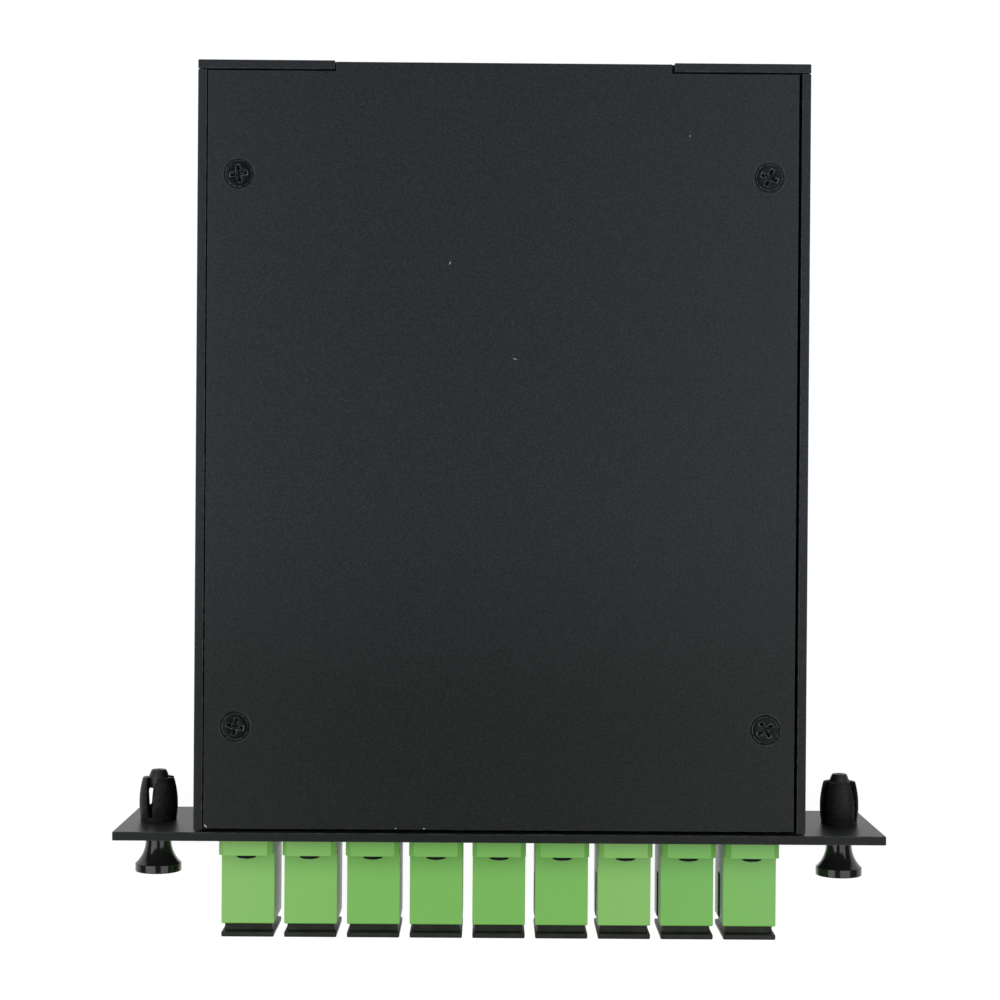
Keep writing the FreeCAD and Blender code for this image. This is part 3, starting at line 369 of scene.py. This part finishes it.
def make_materials():
    """One material for each of the record's slots, and one for the specks of lint."""
    return {
        "powder_coat": powder_coat(),
        "black_zinc": black_zinc(),
        # Zinc plate on pressed steel: bright grey with small crystals
        "zinc_steel": metal("zinc_plate", linear("#BFC3C8"), 0.32, 0.5 * MM),
        "green_pbt": green_pbt(),
        # Moulded elastomer boots: soft, dull green
        "green_rubber": moulded("elastomer_green", linear("#4F9A45"), linear("#5AA64E"),
                                0.65, 0.08, 2 * MM, 0.2),
        # Moulded polyethylene: greenish black, waxy and slightly scuffed
        "black_cap": moulded("polyethylene_black", colours().cap, linear("#2A2D27"),
                             0.42, 0.1, 2.5 * MM, 0.15, shine=0.2),
        # Glass-filled nylon: matt black with paler fibre marks
        "black_nylon": moulded("nylon_black_matt", colours().latch, linear("#202321"),
                               0.5, 0.15, 0.6 * MM, 0.9, shine=0.2),
        "black_gloss_nylon": polished_nylon(),
        # Unpigmented nylon: milky and slightly see-through
        "natural_nylon": moulded("nylon_natural", linear("#E6E3D8"), linear("#DEDACD"),
                                 0.4, 0.05, 3 * MM, 0.1, subsurface=0.3),
        # Ground zirconia: dense white ceramic, almost mirror smooth
        "zirconia": moulded("zirconia_ground", linear("#F1F0EA"), linear("#EBEAE3"),
                            0.12, 0.03, 1 * MM, 0.03, ior=2.1),
        # Drawn stainless tube: fine lines along its length
        "stainless": metal("stainless_drawn", linear("#C3C4C6"), 0.25, 0.2 * MM, (0.04, 1, 1)),
        # Cast sealant: black rubber with a slight meniscus of tone
        "black_rubber": moulded("sealant_black", linear("#1C1C1D"), linear("#252526"),
                                0.6, 0.1, 1 * MM, 0.3),
        "silica": silica(),
        # Extruded buffer tube: white and satin
        "fibre_jacket": moulded("buffer_tube_white", linear("#E9E9E4"), linear("#DFDFD9"),
                                0.38, 0.05, 2 * MM, 0.08),
        # Cotton lint: pale, matt threads
        "lint": moulded("lint_pale", linear("#C9CDCB"), linear("#9FA5A3"),
                        0.9, 0.05, 0.1 * MM, 0.6),
    }


MATERIALS = {}


def finish_of(slot):
    """Material of a slot, made the first time that one is asked for."""
    if not MATERIALS:
        MATERIALS.update(make_materials())
    return MATERIALS[slot]


def add_piece(name, mesh, slot, body, nodes=()):
    """Link a mesh as a piece that rides a body and stands for the named CAD nodes."""
    piece = bpy.data.objects.new(name, mesh)
    bpy.context.scene.collection.objects.link(piece)
    mesh.materials.append(finish_of(slot))
    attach(piece, body)
    if nodes:
        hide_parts(*nodes)
    return piece


def softened(name, node, slot, body, edge, segments=2, shape=None):
    """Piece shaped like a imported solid, with its facets merged and its sharp edges rounded."""
    form = bmesh.new()
    form.from_mesh(frame["nodes"][node].data)
    bmesh.ops.remove_doubles(form, verts=form.verts, dist=WELD)
    if shape:
        shape(form)
    bmesh.ops.dissolve_limit(form, angle_limit=FLAT, verts=form.verts, edges=form.edges)
    # A face with many corners can fill wrongly after the rounding, so it is cut up before it
    pierced = [face for face in form.faces if len(face.verts) > 4]
    bmesh.ops.triangulate(form, faces=pierced)
    surface = BVHTree.FromBMesh(form)
    low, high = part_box(node)
    # Marks the rounded faces for the lighter edge colour: partly wear, partly a painted highlight
    worn_and_lit = form.faces.layers.float.new("edge")
    sharp = [e for e in form.edges if e.is_manifold and abs(e.calc_face_angle_signed(0)) > CREASE]
    rounded = bmesh.ops.bevel(form, geom=sharp, offset=edge, offset_type="OFFSET",
                              segments=segments, profile=0.5, affect="EDGES",
                              clamp_overlap=False)
    for face in rounded["faces"]:
        face[worn_and_lit] = 1.0
    # Where short edges meet, the rounding can throw a corner out: it goes back to the surface
    for vertex in form.verts:
        spot = surface.find_nearest(vertex.co)[0]
        place = vertex.co if (vertex.co - spot).length < edge * THROWN_OUT else spot
        vertex.co = [min(max(c, a), b) for c, a, b in zip(place, low, high)]
    for face in form.faces:
        face.smooth = True
    mesh = bpy.data.meshes.new(name)
    form.to_mesh(mesh)
    form.free()
    mesh.set_sharp_from_angle(angle=ROUNDED_SHARP)
    piece = add_piece(name, mesh, slot, body, (node,))
    flats = piece.modifiers.new("Flats", "WEIGHTED_NORMAL")
    flats.keep_sharp = True
    return piece


def rounded_profile(points, radii):
    """Profile whose corners with a radius are replaced by short curves."""
    steps = 5
    made = []
    last = len(points) - 1
    for index, (point, radius) in enumerate(zip(points, radii)):
        if radius <= 0 or index in (0, last):
            made.append(Vector(point))
            continue
        before = (Vector(points[index - 1]) - Vector(point)).normalized() * radius
        after = (Vector(points[index + 1]) - Vector(point)).normalized() * radius
        for step in range(steps + 1):
            t = step / steps
            corner = Vector(point)
            made.append((corner + before) * (1 - t) ** 2 + corner * 2 * t * (1 - t)
                        + (corner + after) * t ** 2)
    return made


def turned(name, profile, centre, slot, body, nodes):
    """Piece turned about a line along Y from (radius, distance along the line) points."""
    steps = 96
    form = bmesh.new()
    ring = [form.verts.new((p[0], p[1], 0)) for p in profile]
    edges = [form.edges.new(pair) for pair in zip(ring, ring[1:])]
    bmesh.ops.spin(form, geom=ring + edges, cent=(0, 0, 0), axis=(0, 1, 0),
                   angle=2 * math.pi, steps=steps, use_merge=True)
    bmesh.ops.remove_doubles(form, verts=form.verts, dist=WELD)
    bmesh.ops.recalc_face_normals(form, faces=form.faces)
    for face in form.faces:
        face.smooth = True
    bmesh.ops.translate(form, verts=form.verts, vec=centre)
    mesh = bpy.data.meshes.new(name)
    form.to_mesh(mesh)
    form.free()
    mesh.set_sharp_from_angle(angle=TURNED_SHARP)
    return add_piece(name, mesh, slot, body, nodes)


def flake(name, x, y, z, long, wide, turn):
    """Irregular flake or thread end that lies on a surface; all in millimetres and degrees."""
    corners = 14
    thick = wide * 0.16
    form = bmesh.new()
    rim = []
    for corner in range(corners):
        angle = 2 * math.pi * corner / corners
        # Two waves round the rim, which differ from flake to flake, make it ragged
        ragged = 1 + 0.22 * math.sin(3 * angle + x) + 0.14 * math.sin(5 * angle + y)
        rim.append(form.verts.new((math.cos(angle) * long / 2 * ragged,
                                   math.sin(angle) * wide / 2 * ragged, 0)))
    crown = [form.verts.new((v.co.x / 2, v.co.y / 2, thick)) for v in rim]
    for corner in range(corners):
        after = (corner + 1) % corners
        form.faces.new((rim[corner], rim[after], crown[after], crown[corner]))
    form.faces.new(crown)
    form.faces.new(list(reversed(rim)))
    for face in form.faces:
        face.smooth = True
    placed = (Matrix.Translation(Vector((x, y, z)) * MM)
              @ Matrix.Rotation(math.radians(turn), 4, "Z") @ Matrix.Scale(MM, 4))
    bmesh.ops.transform(form, matrix=placed, verts=form.verts)
    mesh = bpy.data.meshes.new(name)
    form.to_mesh(mesh)
    form.free()
    return add_piece(name, mesh, "lint", "case")


class CASSETTE_OT_tray(bpy.types.Operator):
    """Powder-coated tray with the front panel, ears and back wall"""
    bl_idname = "cassette.tray"
    bl_label = "Tray"

    def execute(self, context):
        softened("tray_coated", "tray", "powder_coat", "case", sizes().sheet_edge)
        return {"FINISHED"}


class CASSETTE_OT_lid(bpy.types.Operator):
    """Powder-coated lid"""
    bl_idname = "cassette.lid"
    bl_label = "Lid"

    def execute(self, context):
        softened("lid_coated", "lid", "powder_coat", "case", sizes().lid_edge)
        return {"FINISHED"}


class CASSETTE_OT_screws(bpy.types.Operator):
    """Lid screws and flange screws"""
    bl_idname = "cassette.screws"
    bl_label = "Screws"

    def execute(self, context):
        softened("lid_screws_plated", "lid_screws", "black_zinc", "case", sizes().screw_edge, 3,
                 self.drawn_in)
        softened("flange_screws_plated", "flange_screws", "black_zinc", "case",
                 sizes().flange_screw_edge, 1)
        return {"FINISHED"}

    def drawn_in(self, form):
        """Draw each head's rim in, so that the countersink shows as a dark ring round it."""
        rim = 2.2 * MM
        for right in (False, True):
            for back in (False, True):
                screw = [v for v in form.verts if (v.co.x > 0, v.co.y > 0) == (right, back)]
                axis = Vector([(min(v.co[i] for v in screw) + max(v.co[i] for v in screw)) / 2
                               for i in (0, 1)])
                for vertex in screw:
                    arm = vertex.co.xy - axis
                    if arm.length > rim:
                        vertex.co.xy = axis + arm.normalized() * (arm.length - sizes().screw_gap)


# How far each adapter's green is towards the pale batch, from the left
BATCHES = (1.0, 0.8, 0.55, 0.5, 0.45, 0.45, 1.0, 0.15, 0.3)


class CASSETTE_OT_adapters(bpy.types.Operator):
    """Green adapter shells, each with its own batch tone"""
    bl_idname = "cassette.adapters"
    bl_label = "Adapters"

    def execute(self, context):
        for number, batch in zip(ADAPTERS, BATCHES):
            piece = softened(f"adapter_{number}_moulded", f"adapter_shell_{number}", "green_pbt",
                             "case", sizes().moulded_edge, shape=self.flat_corners)
            tone = piece.data.attributes.new("batch", "FLOAT", "POINT")
            tone.data.foreach_set("value", [batch] * len(piece.data.vertices))
        return {"FINISHED"}

    def flat_corners(self, form):
        """Turn the flange's round corners into flat ones."""
        reach = sizes().flange_corner
        near = 10 * WELD
        span = [(min(v.co[i] for v in form.verts), max(v.co[i] for v in form.verts))
                for i in (0, 2)]
        middle = [(low + high) / 2 for low, high in span]
        inner = [(high - low) / 2 - reach for low, high in span]
        for vertex in form.verts:
            out = [abs(vertex.co[i] - m) - n for i, m, n in zip((0, 2), middle, inner)]
            if min(out) > WELD and math.hypot(*out) > reach - near:
                back = (sum(out) - reach) / 2
                for i, m in zip((0, 2), middle):
                    vertex.co[i] -= math.copysign(back, vertex.co[i] - m)


class CASSETTE_OT_caps(bpy.types.Operator):
    """Black dust caps in the front ports"""
    bl_idname = "cassette.caps"
    bl_label = "Dust caps"

    def execute(self, context):
        for number in ADAPTERS:
            softened(f"cap_{number}_moulded", f"dust_cap_{number}", "black_cap",
                     f"cap_{number}", sizes().cap_edge, 3)
        return {"FINISHED"}


class CASSETTE_OT_latches(bpy.types.Operator):
    """Split grommets and their polished plungers"""
    bl_idname = "cassette.latches"
    bl_label = "Latches"

    def execute(self, context):
        for side in SIDES:
            softened(f"grommet_{side}_moulded", f"latch_grommet_{side}", "black_nylon", "case",
                     sizes().grommet_edge)
            self.plunger(side)
        return {"FINISHED"}

    def plunger(self, side):
        """Plunger with a flared knob, turned finely so that the lamps' reflections run smooth."""
        node = f"latch_plunger_{side}"
        low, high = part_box(node)
        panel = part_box("tray")[0].y
        centre = Vector(((low.x + high.x) / 2, 0, (low.z + high.z) / 2))
        # Radii along the plunger, from the knob to the nose
        rim = (high.x - low.x) / 2
        neck, shaft, waist, nose, dimple = 2.22 * MM, 1.8 * MM, 1.0 * MM, 1.25 * MM, 0.5 * MM
        # Lengths, and the places that they lead to
        rim_length, collar, guide, head_length, nose_length = (
            1.38 * MM, 1.2 * MM, 3.7 * MM, 1.8 * MM, 1.3 * MM)
        knob_end = low.y
        flare_front = knob_end + rim_length
        seat = panel - collar
        waist_start = panel + guide
        taper_end = waist_start + shaft - waist
        head_end = high.y - nose_length
        head_start = head_end - head_length
        flare_radius = 5.2 * MM
        sweep = math.acos(1 - (rim - neck) / flare_radius)
        neck_end = flare_front + flare_radius * math.sin(sweep)
        steps = 14
        flare = []
        for step in range(steps + 1):
            angle = sweep * (1 - step / steps)
            flare.append((neck + flare_radius * (1 - math.cos(angle)),
                          neck_end - flare_radius * math.sin(angle)))
        points = [(0, knob_end), (rim, knob_end)] + flare
        points += [(neck, seat), (shaft, seat), (shaft, waist_start), (waist, taper_end),
                   (waist, head_start), (shaft, head_start), (shaft, head_end),
                   (nose, high.y), (dimple, high.y), (0, high.y - dimple)]
        fine, small, soft = 0.05 * MM, 0.1 * MM, 0.15 * MM
        radii = [0, sizes().knob_edge, fine] + [0] * steps
        radii += [fine, 0, small, 0, 0, small, small, soft, fine, 0]
        turned(f"plunger_{side}_polished", rounded_profile(points, radii), centre,
               "black_gloss_nylon", f"plunger_{side}", (node,))


# Specks on the lid: place along X and Y, length, width and turn, in millimetres and degrees
SPECKS = (
    (-9.02, 31.73, 0.7, 0.14, 70),
    (2.03, 15.68, 0.9, 0.11, -12),
    (31.18, 53.4, 0.26, 0.2, 0),
    (-17.5, -63.45, 0.3, 0.2, 10),
    (-12.71, -63.45, 0.34, 0.22, 0),
    (-49.45, -63.25, 0.72, 0.26, -53),
)


class CASSETTE_OT_lint(bpy.types.Operator):
    """Specks of lint and bright chips on the lid"""
    bl_idname = "cassette.lint"
    bl_label = "Lint"

    def execute(self, context):
        sunk = 0.005
        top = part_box("lid")[1].z / MM - sunk
        for number, (x, y, long, wide, turn) in enumerate(SPECKS, start=1):
            flake(f"speck_{number}", x, y, top, long, wide, turn)
        return {"FINISHED"}


class CASSETTE_OT_inside(bpy.types.Operator):
    """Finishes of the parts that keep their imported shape"""
    bl_idname = "cassette.inside"
    bl_label = "Inside parts"

    def execute(self, context):
        for part in frame["record"]["subparts"]:
            mesh = frame["nodes"][part["node"]].data
            mesh.materials.clear()
            mesh.materials.append(finish_of(part["material_slot"]))
        return {"FINISHED"}


# Camera worked out from the photograph's edges: a copy stand 358 mm above the lid
CAMERA_PLACE = Vector((-2.078, -6.612, 386.526)) * MM
CAMERA_FORWARD = Vector((0.0049, -0.0040, -1.0)).normalized()
CAMERA_ROLL = 0.0073
CAMERA_LENS = 76.73
CAMERA_SENSOR = 36.0

# Light panels each side of the camera: name, centre and size in metres, and power in watts
PANELS = (
    ("panel_left", (-0.3085, -0.02, 0.315), (0.423, 0.46), 1.30),
    ("panel_right", (0.226, -0.02, 0.315), (0.348, 0.46), 0.87),
)

# Ground: its depth below the object, half its width, how white its paper is, the strength and
# share of its glow for the camera, and the distances between which mirrors lose sight of it
GROUND_GAP = 0.2 * MM
GROUND_REACH = 1.5
PAPER = 0.8
GLOW = 1.09
GLOW_SHARE = 0.88
MIRRORED_NEAR, MIRRORED_FAR = 0.115, 0.15

# Surroundings: the tone that mirrors show of them, and the strength of their fill light
ROOM = "#303030"
FILL = 0.26


class CASSETTE_OT_stage(bpy.types.Operator):
    """White floor and backdrop, two light panels and the camera"""
    bl_idname = "cassette.stage"
    bl_label = "Stage"

    def execute(self, context):
        self.floor()
        self.surroundings()
        for name, place, size, power in PANELS:
            self.panel(name, Vector(place), size, power)
        self.camera()
        context.scene.view_settings.view_transform = "Standard"
        return {"FINISHED"}

    def floor(self):
        """White floor that keeps a faint shadow; mirrored, it is white only round the object."""
        form = bmesh.new()
        bmesh.ops.create_grid(form, x_segments=8, y_segments=8, size=GROUND_REACH)
        bmesh.ops.translate(form, verts=form.verts, vec=(0, 0, CAD_BOX[0].z - GROUND_GAP))
        mesh = bpy.data.meshes.new("floor")
        form.to_mesh(mesh)
        form.free()
        floor = bpy.data.objects.new("floor", mesh)
        bpy.context.scene.collection.objects.link(floor)
        material, tree, output = new_material("paper_white")
        path = add_node(tree, "ShaderNodeLightPath")
        place = add_node(tree, "ShaderNodeTexCoord").outputs["Object"]
        away = add_node(tree, "ShaderNodeVectorMath", {"operation": "LENGTH"}, {0: place})
        near = add_node(tree, "ShaderNodeMapRange", {"interpolation_type": "SMOOTHSTEP"}, {
            "Value": away.outputs["Value"], "From Min": MIRRORED_FAR,
            "From Max": MIRRORED_NEAR})
        mirrored = add_node(tree, "ShaderNodeMath", {"operation": "MULTIPLY"}, {
            0: path.outputs["Is Glossy Ray"], 1: near.outputs["Result"]})
        looked = add_node(tree, "ShaderNodeMath", {"operation": "MAXIMUM"}, {
            0: self.looked_at(tree, path), 1: mirrored.outputs["Value"]})
        paper = add_node(tree, "ShaderNodeBsdfDiffuse", inputs={
            "Color": (PAPER, PAPER, PAPER, 1)})
        glow = add_node(tree, "ShaderNodeEmission", inputs={
            "Color": (1, 1, 1, 1), "Strength": GLOW})
        share = add_node(tree, "ShaderNodeMath", {"operation": "MULTIPLY"}, {
            0: looked.outputs["Value"], 1: GLOW_SHARE})
        mix = add_node(tree, "ShaderNodeMixShader", inputs={
            0: share.outputs["Value"], 1: paper.outputs["BSDF"], 2: glow.outputs["Emission"]})
        tree.links.new(mix.outputs["Shader"], output.inputs["Surface"])
        mesh.materials.append(material)

    def looked_at(self, tree, path):
        """Socket that is one for rays that come from the camera, also through a clear piece."""
        both = add_node(tree, "ShaderNodeMath", {"operation": "MAXIMUM"}, {
            0: path.outputs["Is Camera Ray"], 1: path.outputs["Is Transmission Ray"]})
        return both.outputs["Value"]

    def surroundings(self):
        """White backdrop, a dark room for reflections, and a soft fill for the shading."""
        world = bpy.data.worlds.new("studio")
        bpy.context.scene.world = world
        world.use_nodes = True
        tree = world.node_tree
        tree.nodes.clear()
        output = add_node(tree, "ShaderNodeOutputWorld")
        mirrored = add_node(tree, "ShaderNodeBackground", inputs={
            "Color": opaque(linear(ROOM))})
        fill = add_node(tree, "ShaderNodeBackground", inputs={
            "Color": (1, 1, 1, 1), "Strength": FILL})
        backdrop = add_node(tree, "ShaderNodeBackground", inputs={"Color": (1, 1, 1, 1)})
        path = add_node(tree, "ShaderNodeLightPath")
        bounced = add_node(tree, "ShaderNodeMixShader", inputs={
            0: path.outputs["Is Glossy Ray"], 1: fill.outputs["Background"],
            2: mirrored.outputs["Background"]})
        mix = add_node(tree, "ShaderNodeMixShader", inputs={
            0: self.looked_at(tree, path), 1: bounced.outputs["Shader"],
            2: backdrop.outputs["Background"]})
        tree.links.new(mix.outputs["Shader"], output.inputs["Surface"])

    def panel(self, name, place, size, power):
        """Flat rectangular lamp that faces straight down."""
        lamp = bpy.data.lights.new(name, "AREA")
        lamp.shape = "RECTANGLE"
        lamp.size, lamp.size_y = size
        lamp.energy = power
        holder = bpy.data.objects.new(name, lamp)
        holder.location = place
        holder.visible_camera = False
        bpy.context.scene.collection.objects.link(holder)

    def camera(self):
        """Camera that looks straight down, as the photograph's did."""
        eye = bpy.data.cameras.new("camera")
        eye.sensor_width = CAMERA_SENSOR
        eye.lens = CAMERA_LENS
        eye.clip_start = 0.01
        holder = bpy.data.objects.new("camera", eye)
        right = CAMERA_FORWARD.cross(Vector((0, 1, 0))).normalized()
        up = right.cross(CAMERA_FORWARD)
        turn, side = math.cos(CAMERA_ROLL), math.sin(CAMERA_ROLL)
        axes = (right * turn + up * side, up * turn - right * side, -CAMERA_FORWARD)
        holder.matrix_world = (Matrix.Translation(CAMERA_PLACE)
                               @ Matrix(axes).transposed().to_4x4())
        bpy.context.scene.collection.objects.link(holder)
        bpy.context.scene.camera = holder


OPERATORS = (
    CASSETTE_OT_tray, CASSETTE_OT_lid, CASSETTE_OT_screws, CASSETTE_OT_adapters,
    CASSETTE_OT_caps, CASSETTE_OT_latches, CASSETTE_OT_lint, CASSETTE_OT_inside,
    CASSETTE_OT_stage,
)


class CASSETTE_PT_panel(bpy.types.Panel):
    """Sizes, colours and steps of the cassette"""
    bl_idname = "CASSETTE_PT_panel"
    bl_label = "Splitter cassette"
    bl_space_type = "VIEW_3D"
    bl_region_type = "UI"
    bl_category = "Cassette"

    def draw(self, context):
        layout = self.layout
        for group in (context.scene.cassette_sizes, context.scene.cassette_colours):
            for name in group.bl_rna.properties.keys():
                if name not in ("rna_type", "name"):
                    layout.prop(group, name)
        for operator in OPERATORS:
            layout.operator(operator.bl_idname)


CLASSES = (CassetteSizes, CassetteColours) + OPERATORS + (CASSETTE_PT_panel,)


def register():
    """Register the classes and hang the settings on the scene."""
    for cls in CLASSES:
        bpy.utils.register_class(cls)
    bpy.types.Scene.cassette_sizes = PointerProperty(type=CassetteSizes)
    bpy.types.Scene.cassette_colours = PointerProperty(type=CassetteColours)


def unregister():
    """Remove the settings and the classes."""
    del bpy.types.Scene.cassette_colours
    del bpy.types.Scene.cassette_sizes
    for cls in reversed(CLASSES):
        bpy.utils.unregister_class(cls)


def main():
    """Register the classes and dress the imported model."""
    register()
    for operator in OPERATORS:
        group, step = operator.bl_idname.split(".")
        getattr(getattr(bpy.ops, group), step)()


if __name__ == "__main__":
    main()
